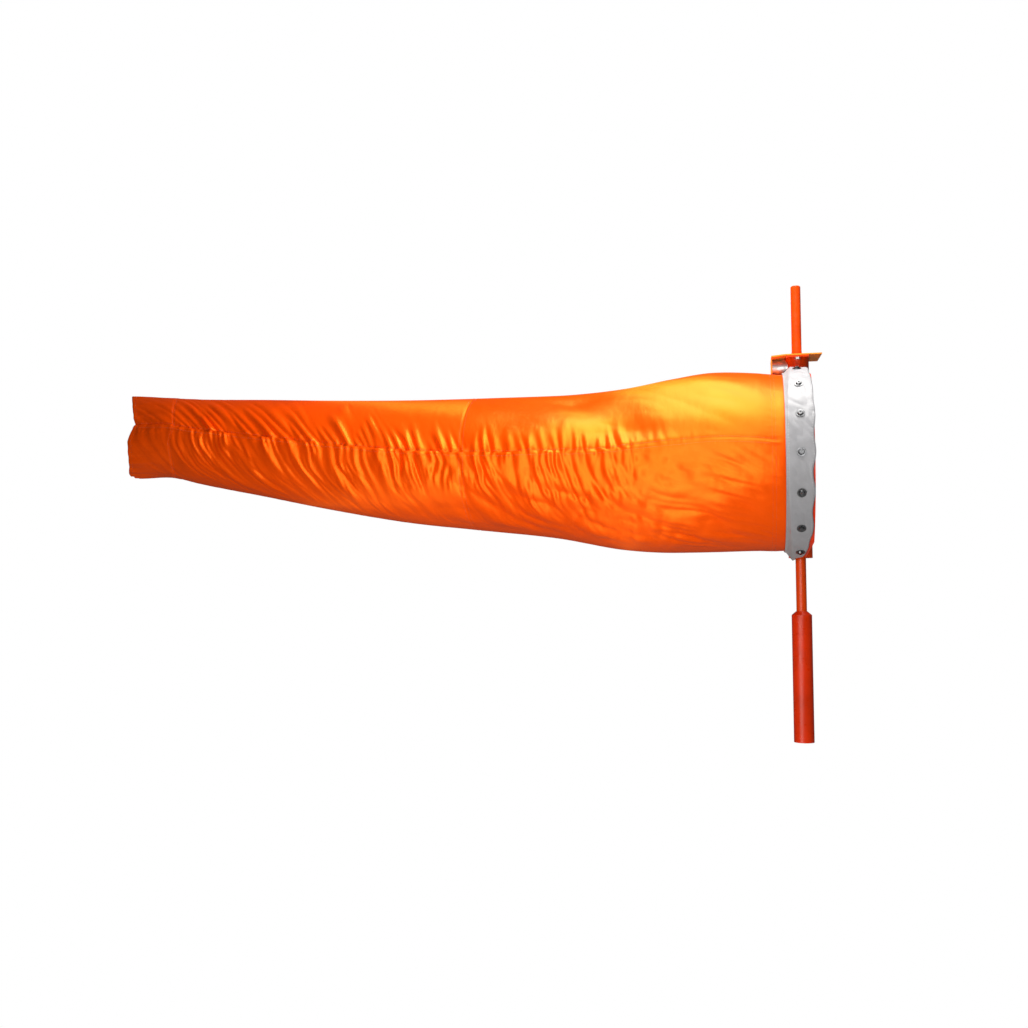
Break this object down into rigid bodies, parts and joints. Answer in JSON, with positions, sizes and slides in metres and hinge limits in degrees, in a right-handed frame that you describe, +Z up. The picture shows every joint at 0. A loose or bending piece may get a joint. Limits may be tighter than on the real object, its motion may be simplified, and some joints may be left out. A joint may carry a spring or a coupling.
{
  "type": "windsock with pole",
  "caption": "Airfield windsock: an orange tapered fabric sock on a hoop that swivels on a round bar above a short pole.",
  "frame": {"origin": "centre of the pole's lower cut end", "axes": "+Z up the pole, sock trails along -X, Y completes the right-handed set"},
  "size_m": [1.868, 0.487, 1.122],
  "materials": {
    "red_paint": "gloss",
    "orange_paint": "gloss",
    "tan_paint": "satin",
    "zinc_steel": "bright",
    "bearing_steel": "polished",
    "spring_steel": "dark",
    "seal_rubber": "matt",
    "grey_band": "coated",
    "orange_fabric": "satin"
  },
  "bodies": {
    "mast": {"pole_tube": "red_paint", "pole_cap": "red_paint", "cap_grub_screws": "zinc_steel", "spindle": "orange_paint", "thrust_collar": "zinc_steel", "collar_screw": "zinc_steel", "spindle_circlip": "spring_steel", "lower_inner_ring": "bearing_steel", "upper_inner_ring": "bearing_steel"},
    "lower_ball_set": {"lower_balls": "bearing_steel", "lower_cage": "spring_steel"},
    "upper_ball_set": {"upper_balls": "bearing_steel", "upper_cage": "spring_steel"},
    "head": {"swivel_tube": "orange_paint", "lower_outer_ring": "bearing_steel", "upper_outer_ring": "bearing_steel", "bearing_seals": "seal_rubber", "sleeve_circlips": "spring_steel", "top_bracket": "tan_paint", "bracket_ears": "orange_paint", "bracket_bolts": "zinc_steel", "standoff": "zinc_steel", "standoff_bolt": "zinc_steel", "hoop_near": "red_paint", "hoop_far": "red_paint", "hoop_band": "grey_band", "band_screws": "zinc_steel", "band_washers": "zinc_steel", "band_nuts": "zinc_steel", "sock_throat": "orange_fabric"},
    "sock_middle": {"sock_middle": "orange_fabric"},
    "sock_tail": {"sock_tail": "orange_fabric"}
  },
  "joints": [
    {"name": "head_swivel", "type": "hinge", "parent": "mast", "child": "head", "pos_m": [0, 0, 0.69], "axis": [0, 0, 1], "continuous": true},
    {"name": "lower_ball_roll", "type": "hinge", "parent": "mast", "child": "lower_ball_set", "pos_m": [0, 0, 0.466], "axis": [0, 0, 1], "continuous": true},
    {"name": "upper_ball_roll", "type": "hinge", "parent": "mast", "child": "upper_ball_set", "pos_m": [0, 0, 0.9155], "axis": [0, 0, 1], "continuous": true},
    {"name": "sock_droop", "type": "hinge", "parent": "head", "child": "sock_middle", "pos_m": [-0.4303, 0, 0.468], "axis": [0, -1, 0], "range_deg": [0, 36]},
    {"name": "tail_droop", "type": "hinge", "parent": "sock_middle", "child": "sock_tail", "pos_m": [-1.2403, 0, 0.587], "axis": [0, -1, 0], "range_deg": [0, 36]}
  ],
  "couplings": [
    {"joint": "lower_ball_roll", "follows": "head_swivel", "ratio": 0.603},
    {"joint": "upper_ball_roll", "follows": "head_swivel", "ratio": 0.603},
    {"joint": "tail_droop", "follows": "sock_droop", "ratio": 1}
  ]
}
